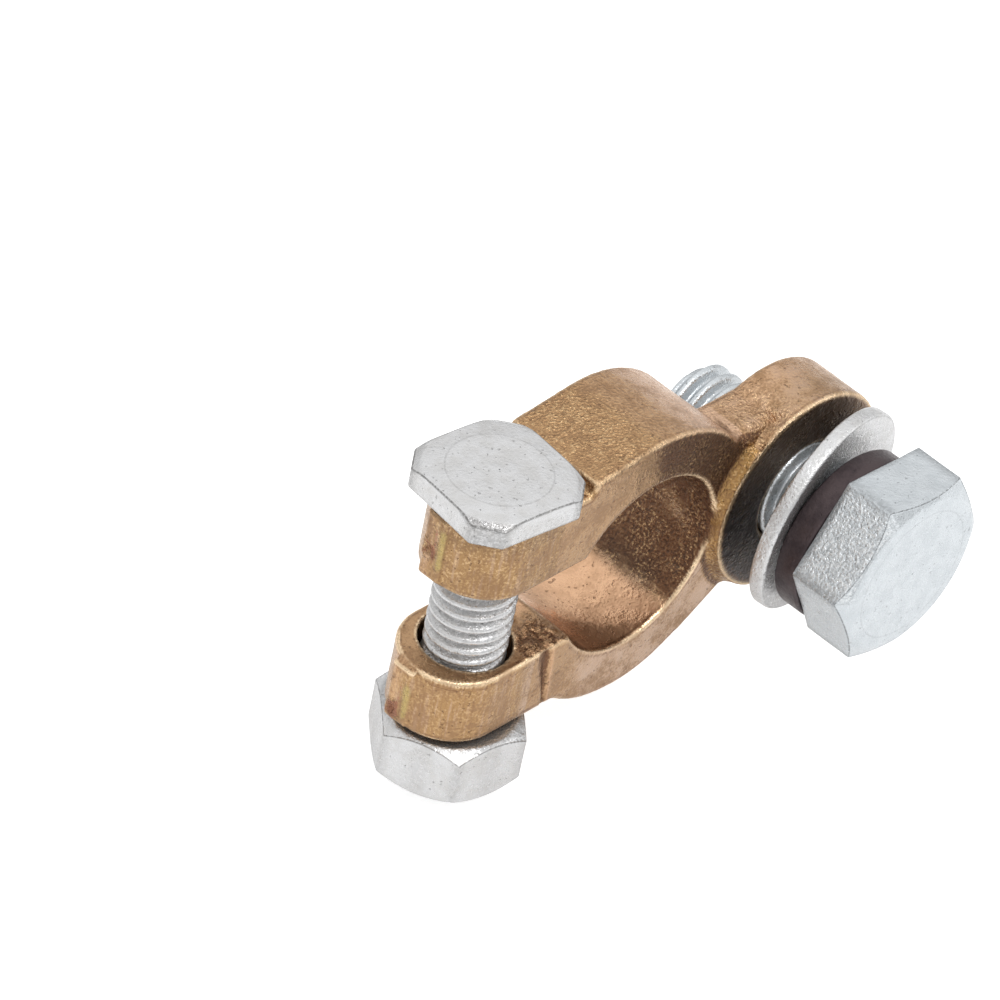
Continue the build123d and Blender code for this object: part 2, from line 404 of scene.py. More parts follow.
# a flat-sided outline with small round corners, as (x, y) points
def roundedPolygon(corners, cornerRound, steps=4, sideSteps=9):
    points = []
    count = len(corners)
    for index in range(count):
        before, here, after = (Vector(corners[(index + shift) % count]) for shift in (-1, 0, 1))
        toBefore = (before - here).normalized()
        toAfter = (after - here).normalized()
        half = toBefore.angle(toAfter) / 2
        cut = cornerRound / math.tan(half)
        start, end = here + toBefore * cut, here + toAfter * cut
        middle = here + (toBefore + toAfter).normalized() * (cornerRound / math.sin(half))
        for step in range(steps + 1):
            spoke = (start - middle).lerp(end - middle, step / steps).normalized()
            points.append(middle + spoke * cornerRound)
        nextHere, nextAfter = Vector(corners[(index + 1) % count]), Vector(corners[(index + 2) % count])
        nextHalf = (here - nextHere).normalized().angle((nextAfter - nextHere).normalized()) / 2
        nextStart = nextHere + (here - nextHere).normalized() * (cornerRound / math.tan(nextHalf))
        for step in range(1, sideSteps):
            points.append(end.lerp(nextStart, step / sideSteps))
    return points


# A bolt head or nut over z = 0, as rings of points and how much painted shade each ring carries as a crease
# line.
# Its far face is a disc, then a gentle slope, then the flat cone that cuts the corners.
def headRings(outline, size, height, holeRadius=0.0, bothFaces=False):
    flatRadius, edgeRound, discRadius = size["flatRadius"], size["edgeRound"], size["discRadius"]
    drop, gentle = (math.tan(math.radians(size[key])) for key in ("coneAngle", "discAngle"))
    lip, pastFlat, centreHole = 0.10, 0.15, 0.05

    # 0 below the bend and over above it, with a small round between
    def bend(over):
        return (over + math.sqrt(over * over + 0.003)) / 2

    def topHeight(radius):
        return height - gentle * bend(radius - discRadius) - (drop - gentle) * bend(radius - flatRadius)

    def topRing(reach, crease):
        ring = [point.normalized() * reach(point.length) for point in outline]
        top.append(([(spot.x, spot.y, topHeight(spot.length)) for spot in ring], crease))

    start = max(holeRadius, centreHole)
    radii = [start + (discRadius - 0.25 - start) * step / 4 for step in range(5)]
    radii += [discRadius - lip, discRadius, discRadius + lip]
    radii += [discRadius + lip + (flatRadius - discRadius - 0.25) * step / 4 for step in range(1, 5)]
    radii += [flatRadius, flatRadius + pastFlat]
    top = []
    for radius in radii:
        crease = size["discCrease"] if abs(radius - discRadius) < 0.01 else 0.0
        topRing(lambda length: min(radius, length - edgeRound * 1.6), crease)
    for share in (0.3, 0.6, 0.85):
        topRing(lambda length: (min(flatRadius + pastFlat, length - edgeRound * 1.6) * (1 - share)
                                + (length - edgeRound) * share), 0.0)
    edge = []
    for step in range(5):
        angle = math.radians(90 * step / 4)
        inset = edgeRound * (1 - math.sin(angle))
        sink = edgeRound * (1 - math.cos(angle))
        edge.append(([(*(point.normalized() * (point.length - inset)),
                       topHeight(point.length - edgeRound) - sink) for point in outline],
                     size["edgeCrease"][step]))
    upper = top + edge
    if bothFaces:
        lower = [([(x, y, height - z) for x, y, z in ring], 0.5 * crease) for ring, crease in reversed(upper)]
        middle = []
        for share in (0.1, 0.25, 0.5, 0.75, 0.9):
            middle.append(([tuple(Vector(above).lerp(Vector(below), share))
                            for above, below in zip(upper[-1][0], lower[0][0])], 0.0))
        return upper + middle + lower
    last = upper[-1][0]
    sides = [([(x, y, z * (1 - share) + edgeRound * share) for x, y, z in last], 0.0)
             for share in (0.08, 0.2, 0.4, 0.6, 0.8, 0.92)]
    foot = [([(x, y, edgeRound) for x, y, z in last], 0.2)]
    foot += [([(*(point.normalized() * reach(point.length)), level) for point in outline], crease)
             for reach, level, crease in ((lambda length: length - edgeRound * 0.3, edgeRound * 0.3, 0.3),
                                           (lambda length: length - edgeRound, 0.0, 0.0),
                                           (lambda length: start, 0.0, 0.0))]
    return upper + sides + foot


# a rolled thread from its chamfered end at z = 0 up to z = length, running into the head
def threadRings(crest, depth, pitch, length, endChamfer, around=64, along=10):
    # one turn's profile: the share of the pitch, and the share of the depth there
    profile = [(0.0, 0.0), (0.12, 0.0), (0.22, 0.32), (0.34, 0.78), (0.44, 1.0), (0.56, 1.0),
               (0.66, 0.78), (0.78, 0.32), (0.88, 0.0), (0.94, -0.03)]
    rows = int(length / pitch + 3) * along
    columns = []
    for column in range(around):
        turn = 2 * math.pi * column / around
        line = []
        for row in range(rows):
            share, sink = profile[row % along]
            height = pitch * (row // along + share - 1.5 + column / around)
            inside = min(max(height, 0.0), length)
            radius = min(crest - depth * sink, crest - endChamfer + inside)
            if height < 0.0:  # the rows past the end close it
                radius = max(0.01, radius * (1 + height / (0.4 * pitch)))
            line.append((radius * math.cos(turn), radius * math.sin(turn), inside))
        columns.append(line)
    return columns


# each column's rows sit a little higher than the last one's, so the last column joins one turn up
def threadFaces(first, columns, along=10):
    count, rows = len(columns), len(columns[0])
    faces = []
    for column in range(count):
        after = (column + 1) % count
        shift = along if after == 0 else 0
        for row in range(rows - 1 - shift):
            faces.append((first + column * rows + row, first + after * rows + row + shift,
                          first + after * rows + row + 1 + shift, first + column * rows + row + 1))
    return faces


# moves vertices a little, so that no face is dead flat; waves gives their length, height and shift
def wobble(vertices, waves):
    length, height, shift = waves
    moved = []
    for vertex in vertices:
        spot = Vector(vertex) / length + Vector((shift, shift * 1.7, -shift))
        moved.append(tuple(Vector(vertex) + height * noise.noise_vector(spot)))
    return moved


# Head and thread in one mesh. headPaint takes a head vertex and gives how much painted shade and grit it has.
def boltPiece(name, head, headPaint, thread, size, threadDown, material, place):
    vertices = [vertex for ring, crease in head for vertex in ring]
    outline = [Vector(vertex[:2]) for vertex in head[-3][0]]
    # painted shade lines along the crease rings and down the upright corners
    crease = [max(crease, size["cornerCrease"] * cornerLine(vertex, outline))
              for ring, crease in head for vertex in ring]
    painted = [headPaint(Vector(vertex)) for vertex in vertices]
    vertices = wobble(vertices, size["waves"])
    faces = ringFaces(0, len(head), len(head[0][0]))
    first = len(vertices)
    for line in thread:
        vertices += [(x, y, z - threadDown) for x, y, z in line]
        for x, y, z in line:
            # painted shade in the thread's roots
            sink = min(max((size["crest"] - math.hypot(x, y)) / size["depth"], 0.0), 1.0)
            crease.append(0.0)
            painted.append((size["rootShade"] * sink, size["threadGrit"]))
    faces += threadFaces(first, thread)
    scaled = [tuple(mm * value for value in vertex) for vertex in vertices]
    piece = meshPiece(name, scaled, faces, material, place)
    paintPiece(piece.data, {"crease": crease, "paintedShade": [item[0] for item in painted],
                            "grit": [item[1] for item in painted]})
    return piece


clampBoltSize = {
    "width": 9.8, "cut": 1.58, "cornerRound": 0.35, "thickness": 2.0, "turn": -6.5,
    "flatRadius": 5.25, "coneAngle": 30.0, "discRadius": 3.7, "discAngle": 5.0, "discCrease": 0.30,
    "edgeRound": 0.16, "edgeCrease": (0.0, 0.85, 0.85, 0.1, 0.0), "cornerCrease": 0.45, "waves": (2.2, 0.03, 9),
    "crest": 2.94, "pitch": 1.0, "depth": 0.56, "endChamfer": 0.75, "rootShade": 0.62, "threadGrit": 0.12,
}


# painted shade on the cone at the corners, most of all at the front one, and the sides are scuffed
def squareHeadPaint(spot):
    radius = math.hypot(spot.x, spot.y)
    corner = smoothStep(radius, 5.22, 5.40) * smoothStep(spot.z, 1.45, 1.6)
    front = zone(math.degrees(math.atan2(spot.y, spot.x)), -168, -116, 5)
    return corner * (0.08 + 0.70 * front), 0.25 * smoothStep(-spot.z, -1.5, -1.35)


def makeClampBolt():
    size = clampBoltSize
    half, short = size["width"] / 2, size["width"] / 2 - size["cut"]
    corners = [(half, -short), (half, short), (short, half), (-short, half), (-half, short),
               (-half, -short), (-short, -half), (short, -half)]
    turned = Matrix.Rotation(math.radians(size["turn"]), 2)
    corners = [turned @ Vector(corner) for corner in corners]
    head = headRings(roundedPolygon(corners, size["cornerRound"]), size, size["thickness"])
    length = (boltHigh.z - boltLow.z) / mm - size["thickness"]
    thread = threadRings(size["crest"], size["depth"], size["pitch"], length, size["endChamfer"])
    place = Matrix.Translation((clampAxis.x, 0, boltHigh.z - size["thickness"] * mm))
    piece = boltPiece("clampBolt", head, squareHeadPaint, thread, size, length, zinc, place)
    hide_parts("clamp_bolt")
    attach(piece, "clamp_bolt")


nutSize = {
    "flats": 10.0, "cornerRound": 0.18, "turn": -8.6, "hole": 2.72,
    "flatRadius": 4.75, "coneAngle": 38.0, "discRadius": 3.6, "discAngle": 0.0, "discCrease": 0.0,
    "edgeRound": 0.10, "edgeCrease": (0.0, 0.7, 0.8, 0.1, 0.0), "cornerCrease": 0.25, "waves": (2.4, 0.025, 5),
    "faceShade": 0.60,
}


def hexCorners(flats, turn):
    radius = flats / 2 / math.cos(math.radians(30))
    angles = [math.radians(turn + 60 * index) for index in range(6)]
    return [(radius * math.cos(angle), radius * math.sin(angle)) for angle in angles]


def makeNut():
    size = nutSize
    outline = roundedPolygon(hexCorners(size["flats"], size["turn"]), size["cornerRound"])
    height = (nutHigh.z - nutLow.z) / mm
    rings = headRings(outline, size, height, size["hole"], True)
    rings.append(rings[0])
    vertices = [vertex for ring, crease in rings for vertex in ring]
    # painted shade lines along the crease rings and down the upright corners
    crease = [max(crease, size["cornerCrease"] * cornerLine(vertex, outline))
              for ring, crease in rings for vertex in ring]
    scaled = [tuple(mm * value for value in vertex) for vertex in wobble(vertices, size["waves"])]
    place = Matrix.Translation((clampAxis.x, 0, nutLow.z))
    piece = meshPiece("clampNut", scaled, ringFaces(0, len(rings), len(outline)), zinc, place)
    # painted shade round the hole on both faces
    paintedShade = [size["faceShade"] * smoothStep(-math.hypot(x, y), -5.15, -4.75) for x, y, z in vertices]
    paintPiece(piece.data, {"crease": crease, "paintedShade": paintedShade, "grit": [0.0] * len(vertices)})
    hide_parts("clamp_nut")
    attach(piece, "clamp_nut")


makeClampBolt()
makeNut()
print("clamp bolt and nut made")

cableBoltSize = {
    "flats": 13.0, "cornerRound": 0.20, "height": 4.75, "turn": -2.5,
    "flatRadius": 6.12, "coneAngle": 30.0, "discRadius": 5.2, "discAngle": 3.0, "discCrease": 0.22,
    "edgeRound": 0.14, "edgeCrease": (0.0, 0.80, 0.90, 0.1, 0.0), "cornerCrease": 0.45, "waves": (2.2, 0.03, 9),
    "crest": 3.94, "pitch": 1.25, "depth": 0.66, "endChamfer": 0.75, "rootShade": 0.22, "threadGrit": 0.05,
}


# two opposite flats are struck rough, except a strip along the seat
def hexHeadPaint(spot):
    turn = (math.degrees(math.atan2(spot.y, spot.x)) - cableBoltSize["turn"]) % 180
    side = smoothStep(math.hypot(spot.x, spot.y), 6.2, 6.4)
    rough = side * zone(turn, 121, 179, 2.0) * zone(spot.z, 0.4, 4.7, 0.12)
    return 0.0, rough


# places z = 0 of a mesh at a point on the cable bolt, with its +Z towards -Y
def alongCable(distance):
    turned = Matrix(((1, 0, 0), (0, 0, -1), (0, 1, 0))).to_4x4()
    return Matrix.Translation((cableAxis.x, distance, 0)) @ turned


def makeCableBolt():
    size = cableBoltSize
    outline = roundedPolygon(hexCorners(size["flats"], size["turn"]), size["cornerRound"])
    head = headRings(outline, size, size["height"])
    length = (cableHigh.y - cableLow.y) / mm - size["height"]
    thread = threadRings(size["crest"], size["depth"], size["pitch"], length, size["endChamfer"])
    place = alongCable(cableLow.y + size["height"] * mm)
    piece = boltPiece("cableBolt", head, hexHeadPaint, thread, size, length, blueZinc, place)
    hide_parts("cable_bolt")
    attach(piece, "cable_bolt")


flatWasherSize = {
    "outer": 8.0, "hole": 4.2, "thickness": 1.2, "lean": 9.4, "leanDirection": -19.4, "round": 0.28,
    "crease": 0.5, "grit": 0.22, "holeShade": 0.55, "waves": (3.0, 0.03, 3),
}
springWasherSize = {
    "outer": 6.4, "hole": 4.4, "thickness": 2.05, "lean": 0.0, "leanDirection": 0.0, "round": 0.22,
    "split": 1.0, "splitAngle": -30.0, "waves": (3.0, 0.03, 9),
}


# the middle of the washer's solid, with +Z leaning from -Y
def washerPlace(nodeName, size):
    low, high = nodeBox(nodeName)
    lean, direction = math.radians(size["lean"]), math.radians(size["leanDirection"])
    normal = Vector((math.sin(lean) * math.cos(direction), -math.cos(lean),
                     math.sin(lean) * math.sin(direction)))
    sideways = (Vector((1, 0, 0)) - normal * normal.x).normalized()
    turned = Matrix((sideways, normal.cross(sideways), normal)).transposed().to_4x4()
    return Matrix.Translation((low + high) / 2) @ turned


# the washer's section as (radius, height), its corners rounded in turn from the outer face
def washerProfile(size, steps=5):
    half, corner = size["thickness"] / 2, size["round"]
    outer, inner = size["outer"] - corner, size["hole"] + corner
    spots = []
    for centreX, centreZ, start in ((outer, half - corner, 90), (outer, corner - half, 0),
                                    (inner, corner - half, -90), (inner, half - corner, 180)):
        for step in range(steps):
            angle = math.radians(start - 90 * step / (steps - 1))
            spots.append((centreX + corner * math.cos(angle), centreZ + corner * math.sin(angle)))
    return spots


# a section turned about Z through a list of angles
def turnedProfile(profile, angles, closed):
    vertices = [(radius * math.cos(turn), radius * math.sin(turn), height)
                for turn in angles for radius, height in profile]
    count = len(profile)
    faces = []
    for step in range(len(angles) if closed else len(angles) - 1):
        first, after = step * count, (step + 1) % len(angles) * count
        for spot in range(count):
            beside = (spot + 1) % count
            faces.append((first + spot, after + spot, after + beside, first + beside))
    return vertices, faces


# painted shade on the front face round its hole and all over its -X half, where the next washer is near
def makeFlatWasher():
    size = flatWasherSize
    profile = washerProfile(size)
    around = 120
    vertices, faces = turnedProfile(profile, [2 * math.pi * step / around for step in range(around)], True)
    scaled = [tuple(mm * value for value in vertex) for vertex in wobble(vertices, size["waves"])]
    piece = meshPiece("flatWasher", scaled, faces, zinc, washerPlace("flat_washer", size))
    paintedShade = []
    for x, y, z in vertices:
        radius = math.hypot(x, y)
        nearHole = size["holeShade"] * smoothStep(-radius, -7.0, -6.0)
        shaded = smoothStep(-x, -1.0, 3.0) * smoothStep(-radius, -7.9, -7.6) * (z > 0.5)
        paintedShade.append(max(nearHole, shaded))
    rims = (1, 8)  # the points of the section where the two outer rims are
    # painted shade lines along the two outer rims
    crease = [size["crease"] * (index % len(profile) in rims) for index in range(len(vertices))]
    paintPiece(piece.data, {"crease": crease, "grit": [size["grit"]] * len(vertices), "paintedShade": paintedShade})
    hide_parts("flat_washer")
    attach(piece, "washers")


def makeSpringWasher():
    size = springWasherSize
    profile = washerProfile(size)
    around = 110
    gap = size["split"] / size["outer"]
    start = math.radians(size["splitAngle"]) + gap / 2
    sweep = 2 * math.pi - gap
    angles = [start + sweep * step / around for step in range(around + 1)]
    vertices, faces = turnedProfile(profile, angles, False)
    last = len(vertices) - len(profile)
    faces += [tuple(range(len(profile))), tuple(range(last, len(vertices)))]
    scaled = [tuple(mm * value for value in vertex) for vertex in wobble(vertices, size["waves"])]
    piece = meshPiece("springWasher", scaled, faces, darkSteel, washerPlace("spring_washer", size))
    paintPiece(piece.data, {key: [0.0] * len(vertices) for key in ("crease", "grit", "paintedShade")})
    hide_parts("spring_washer")
    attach(piece, "washers")


makeCableBolt()
makeFlatWasher()
makeSpringWasher()
print("cable bolt and washers made")

# lengths in mm
castingLook = {
    "voxel": 0.17, "waviness": 0.03, "roughness": 0.010, "grit": 0.05, "lumps": 0.21,
    "crater": 0.13, "craterSide": 1.0, "craterHigh": 6.3, "craterLow": -7.9,
    "notch": 0.30, "notchEnd": -7.95, "notchSlant": 0.08,
    "face": -4.185, "bossRadius": 8.03, "rootLow": 0.55, "rootHigh": 1.1, "rootRise": 0.72,
    "neckTop": 7.30, "neckRound": 1.3,
}
barePaint = {"gold": 0.15, "amber": 0.0, "rosy": 0.15, "lit": 0.0, "dark": 0.0, "soot": 0.0, "grit": 0.1,
             "lumps": 0.0, "brushed": 0.0, "scarRed": 0.0, "scarYellow": 0.0}


# along X on the lower ear's front, from the steep end of the notch at its root
def fromNotch(spot):
    return spot.x + (spot.z + 6) * castingLook["notchSlant"] - castingLook["notchEnd"]


# how deep the notch is at one spot, from 0 to 1: a wedge that is wider at the top
def notchShare(spot):
    across = fromNotch(spot)
    width = 0.30 + 0.95 * smoothStep(spot.z, -8.3, -4.4)
    return smoothStep(across, -width, 0) * smoothStep(-across, -0.23, 0)


# how far one spot of an ear's tip is from the middle of its crater, in crater sizes
def fromCrater(spot, wide, high):
    look = castingLook
    middle = look["craterHigh"] if spot.z > 0 else look["craterLow"]
    return math.hypot((spot.y - look["craterSide"]) / wide, (spot.z - middle) / high)


# painted shade at the back and along the lower front rim, a painted highlight in between, and a band of painted
# shadow
def borePaint(spot, turn):
    dark = 0.9 * zone(turn, -54, 160, 12)
    border = 0.75 + (turn + 100) * 0.1
    dark = max(dark, 0.9 * smoothStep(-spot.y, border - 0.9, border + 0.8) * zone(turn, -140, -50, 8))
    dark -= 0.32 * zone(turn, -14, 8, 9) * zone(spot.y, -1.8, 0.6, 1.2)
    return {"gold": 0.2, "rosy": 0.45, "lit": 0.85 * zone(turn, -125, -54, 6), "dark": dark,
            "soot": 0.40 * zone(turn, -56, -40, 7) * zone(spot.y, -2.2, 3.0, 0.8),
            "grit": 0.62 * zone(turn, -56, 60, 5)}


# the lower ear's top: painted shade towards the tips, a rough patch beside the bolt with a painted highlight on
# it and painted shade between its lumps, and a painted highlight strip by the bore
def slitFloorPaint(spot):
    x, y, z = spot
    rough = zone(x, -10.4, -6.6, 0.6) * zone(y, -4.3, -0.9, 0.9)
    bright = zone(x, -9.6, -6.0, 0.5)
    veins = noise.noise(Vector(((x - 0.27 * y) / 1.1, (y + 0.27 * x) / 0.42, z)))
    lumps = smoothStep(-abs(veins), -0.22, 0.0) + 0.8 * noise.noise(Vector((x, y, z)) / 0.4)
    return {"gold": 0.2, "grit": 0.5 * rough, "lumps": lumps * rough,
            "lit": max(0.8 * bright * zone(y, -0.2, 4.4, 0.8), 0.30 * rough),
            "dark": max(0.34 * (1 - bright), rough * (0.70 - 0.58 * smoothStep(lumps, 0.20, 0.85)))}


# painted shadow over the upper ear, most on the faces turned up under the head and along its top
def upperEarPaint(spot, normal):
    return {"gold": 0.8, "rosy": 0.3 * smoothStep(spot.x, -11.5, -9.5), "brushed": 0.8 * (1 - abs(normal.z)),
            "soot": 0.10 + 0.35 * smoothStep(normal.z, 0.2, 0.8) + 0.18 * zone(spot.z, 7.6, 9.2, 0.6)}


# painted shade along the front just under the top rim, and a little painted shadow towards the ring
def lowerEarPaint(spot, normal):
    x, y, z = spot
    underEdge = 0.70 * zone(z, -4.27, -4.08, 0.07) * zone(y, -4.4, -1.0, 0.5) * (normal.z < 0.3)
    return {"gold": 0.65, "rosy": 0.1 + 0.5 * smoothStep(x, -11.5, -9.5), "brushed": 0.8 * (1 - abs(normal.z)),
            "soot": 0.16 * smoothStep(x, -11.5, -10.0), "dark": underEdge}


# painted highlight over the ring's top, strongest on its rosy part
def ringTopPaint(turn):
    return {"gold": 0.95 * zone(turn, 92, 150, 10), "rosy": zone(turn, -40, 76, 12),
            "lit": 0.14 + 0.30 * zone(turn, -40, 76, 12), "grit": 0.35 + 0.5 * zone(turn, 94, 118, 8)}


# the ring's front face, with painted shade and painted shadow towards the eye
def ringFrontPaint(spot):
    x, y, z = spot
    right = smoothStep(x + 0.25 * (z - 8), -2.2, 1.0) * smoothStep(z, -1.5, 2.0)
    return {"gold": 0.25, "rosy": 0.6 * smoothStep(x, -9.0, -3.0) * smoothStep(-z, -6.0, 3.0),
            "dark": 0.85 * right, "soot": 0.05 + 0.17 * right, "grit": 0.1 + 0.5 * right}


# painted shade in the notch and under it, a dark streak beside it, and a painted highlight past its steep end
def addNotchPaint(values, spot):
    across, depth = fromNotch(spot), notchShare(spot)
    notch = 0.45 + 0.5 * depth if depth > 0.06 else 0.0
    streak = 0.5 * zone(across, -1.80, -1.50, 0.2) * zone(spot.z, -8.5, -4.6, 0.6)
    under = 0.62 * zone(across, -3.65, -0.65, 0.8) * smoothStep(-spot.z, 7.6, 8.7)
    values["dark"] = max(values["dark"], notch, streak, under)
    values["lit"] = 0.6 * zone(across, 0.23, 0.50, 0.12)


# the strip of amber metal round the boss, ahead of the ring's face, with painted shade and a little painted
# shadow round it
def addRootPaint(values, spot, fromEye, edge):
    inside = smoothStep(-fromEye, -edge - 0.1, -edge + 0.1)
    fade = (1 - 0.6 * smoothStep(-spot.z, 0, 4)) * (1 - smoothStep(spot.z, 5.4, 6.9))
    values.update(gold=inside, amber=0.62 * inside * fade, rosy=0.0, grit=0.5,
                  dark=0.8 * (1 - inside * fade), soot=0.12)


# darker where the neck's top meets the ring and the boss
def addNeckPaint(values, spot):
    corner = math.hypot((spot.x - 8.9) / 1.5, (spot.y + 4.3) / 0.7)
    joint = abs(spot.x - 8.1 - 0.12 * (spot.y + 4)) / 0.45
    values["dark"] = max(values["dark"], 0.85 * smoothStep(-corner, -1.1, -0.5),
                         0.62 * smoothStep(-joint, -1.2, -0.3) * smoothStep(-spot.y, -0.5, 2.5))


# the gate scars down the ear tips, each with a crater, and a painted highlight beside them
def addScarPaint(values, spot):
    x, y, z = spot
    crater = fromCrater(spot, 0.75, 0.85) + 0.9 * noise.noise(Vector((y, z, 3)) / 0.5)
    ends = zone(z, 4.9, 8.4, 0.5) if z > 0 else zone(z, -8.2, -5.0, 0.5)
    strength = 0.50 if z > 0 else 0.75
    values["scarRed"] = strength * smoothStep(-crater, -1.15, -0.5) + 0.65 * ends * zone(y, 0.38, 0.62, 0.12)
    values["scarYellow"] = ends * zone(y, -0.35, 0.15, 0.35)
    values["lit"] = 0.30 * zone(y, 0.7, 2.6, 0.3)
    values["grit"] = max(0.1, 0.9 * values["scarYellow"], 2.0 * smoothStep(-crater, -1.15, -0.6))


# what is painted on the casting at one spot (in mm) with one normal
def castingPaint(spot, normal):
    x, y, z = spot
    values = dict(barePaint)
    fromBore, fromEye = math.hypot(x, z), math.hypot(x - cableAxis.x / mm, z)
    turn = math.degrees(math.atan2(z, x))
    facesFront = smoothStep(-normal.y, 0.6, 0.95)
    if fromBore < 7.35 and abs(normal.y) < 0.7:
        values.update(borePaint(spot, turn))
    # painted shadow over the eye's front face, lighter towards its top
    elif fromEye < 7.85 and y < -4.9:
        values.update(gold=0.0, soot=facesFront * (1 - 0.3 * smoothStep(z, 0, 6)))
    elif -3.9 < z < -3.2 and normal.z > 0.6:
        values.update(slitFloorPaint(spot))
    elif x < -9.5 and 0 < z < 9.6:
        values.update(upperEarPaint(spot, normal))
    elif x < -9.5 and z < -3.4:
        values.update(lowerEarPaint(spot, normal))
    elif fromBore > 10.5 and normal.z > -0.2 and facesFront < 1 and x < 9:
        values.update(ringTopPaint(turn))
    elif facesFront > 0.3 and x < 9:
        values.update(ringFrontPaint(spot))
    if facesFront > 0.3 and -8.9 < z < -3.6 and x < -7.0:
        addNotchPaint(values, spot)
    rootEdge = 8.50 + 0.40 * smoothStep(z, -2, 5)
    if 7.9 < fromEye < rootEdge + 0.5 and x > 5.5 and -5.1 < y < -4.05 and normal.y < -0.15 and z < 7.5:
        addRootPaint(values, spot, fromEye, rootEdge)
    # the neck's top: rosy and gritty, with a painted highlight towards the back
    if x > 9 and fromEye > 7.6 and normal.z > 0 and abs(normal.y) < 0.8:
        values.update(rosy=0.45, gold=0.30, dark=0.0, grit=0.2 + 0.5 * zone(x, 9, 13, 1.5),
                      lit=0.25 * smoothStep(y, -3.5, -1.5))
    if 7.2 < x < 10.8 and z > 6.3 and normal.z > 0.1:
        addNeckPaint(values, spot)
    if x < -15.5 and normal.x < -0.3:
        addScarPaint(values, spot)
    return values


# how brightly an edge is worn and painted as a highlight: most at the ears' tops, little at the scars, not at
# the neck
def wearAndHighlightShare(spot):
    x, y, z = spot
    if x < -15.9 and -0.9 < y < 2.1 and not -4.1 < z < -3.2:
        return 0.12
    if 7.0 < x < 13.0 and z > 5.2 and y > -4.6:
        return 0.0
    if x < -9.0 and (-4.1 < z < -3.2 or 8.9 < z < 9.7):
        return 1.0
    if y < -4.5:
        return 0.65
    if math.hypot(x, z) < 7.7 and y < -3.8 and x > 0:
        return 1.0
    return 0.42


# where one spot of the evened surface goes: small forms that the plain solid lacks
def castingShape(spot, normal, painted):
    look = castingLook
    place = Vector(spot)
    face = look["face"]
    # concave root all round the front of the eye's boss
    away = math.hypot(spot.x - cableAxis.x / mm, spot.z) - look["bossRadius"]
    reach = look["rootLow"] + (look["rootHigh"] - look["rootLow"]) * smoothStep(spot.z, -3, 5)
    if -0.12 < away < reach and face - 0.85 < spot.y < face + 0.1 and spot.z < 7.35 and spot.x < 12.3:
        fade = 1 - smoothStep(spot.z, 6.3, 7.3)
        rise = look["rootRise"] * fade * (1 - max(away, 0) / reach) ** 2
        place.y = min(spot.y, face - rise)
    # rounded front corner along the neck's top
    radius = look["neckRound"]
    over = Vector((spot.y - (face + radius), spot.z - (look["neckTop"] - radius)))
    alongNeck = spot.y > face - 0.2 and 7.9 < spot.x < 12.4 and away > -0.3
    if over.x < 0 and over.y > 0 and alongNeck and over.length > radius:
        inward = over.normalized() * radius - over
        share = smoothStep(spot.x, 7.9, 9.0)
        place.y, place.z = spot.y + inward.x * share, spot.z + inward.y * share
    # a cast skin's waves, the rough patch, the craters and the notch
    move = noise.noise(spot / 3.5 + Vector((4, 1, 7))) * look["waviness"] - look["waviness"] * 0.3
    move += noise.noise(spot / 0.55) * look["roughness"]
    move += noise.noise(spot / 0.42 + Vector((9, 2, 5))) * look["grit"] * painted["grit"]
    move += look["lumps"] * painted["lumps"]
    if spot.x < -15.5 and normal.x < -0.3:
        crater = fromCrater(spot, 0.5, 0.6)
        move += look["crater"] * (0.45 * zone(crater, 0.9, 1.3, 0.3) - smoothStep(-crater, -1.0, -0.2))
    if normal.y < -0.7 and -8.95 < spot.z < -3.6:
        move -= look["notch"] * notchShare(spot)
    return place + normal * move


# the solid's surface cut into even small faces
def evenSurface(source, size):
    mesh = source.data.copy()
    mesh.name = "casting"
    piece = bpy.data.objects.new("casting", mesh)
    scene.collection.objects.link(piece)
    remesh = piece.modifiers.new("even", "REMESH")
    remesh.mode = "VOXEL"
    remesh.voxel_size = size * mm
    remesh.use_smooth_shade = True
    graph = bpy.context.evaluated_depsgraph_get()
    evened = bpy.data.meshes.new_from_object(piece.evaluated_get(graph))
    piece.modifiers.clear()
    piece.data = evened
    evened.name = "casting"
    return piece


def makeCasting():
    piece = evenSurface(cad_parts["clamp_body"], castingLook["voxel"])
    mesh = piece.data
    bends = outwardBends(mesh)
    values = {key: [] for key in ("edge", "rim", *barePaint) if key != "lumps"}  # lumps are only shape
    spots = [vertex.co / mm for vertex in mesh.vertices]
    normals = [vertex.normal.copy() for vertex in mesh.vertices]
    for vertex, spot, normal, bend in zip(mesh.vertices, spots, normals, bends):
        painted = castingPaint(spot, normal)
        # the edge is worn bright and painted as a highlight; the rim is a painted shade line beside it
        painted["edge"] = smoothStep(bend, 0.052, 0.105) * wearAndHighlightShare(spot)
        painted["rim"] = zone(bend, 0.026, 0.050, 0.008)
        for key in values:
            values[key].append(painted[key])
        vertex.co = castingShape(spot, normal, painted) * mm
    paintPiece(mesh, values)
    mesh.materials.clear()
    mesh.materials.append(brass)
    for polygon in mesh.polygons:
        polygon.use_smooth = True
    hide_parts("clamp_body")
    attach(piece, "body")
    print("casting has", len(mesh.polygons), "faces")


makeCasting()
print("casting made")


# angles in degrees, lengths in mm; pixelsPerMm is the scale at the target, in a frame of so many pixels
cameraPlace = {"azimuth": -52.468, "elevation": 39.12, "roll": -11.6, "distance": 386.24,
               "right": -6.757, "up": 2.211, "pixelsPerMm": 14.5, "frame": 1000, "sensor": 36}


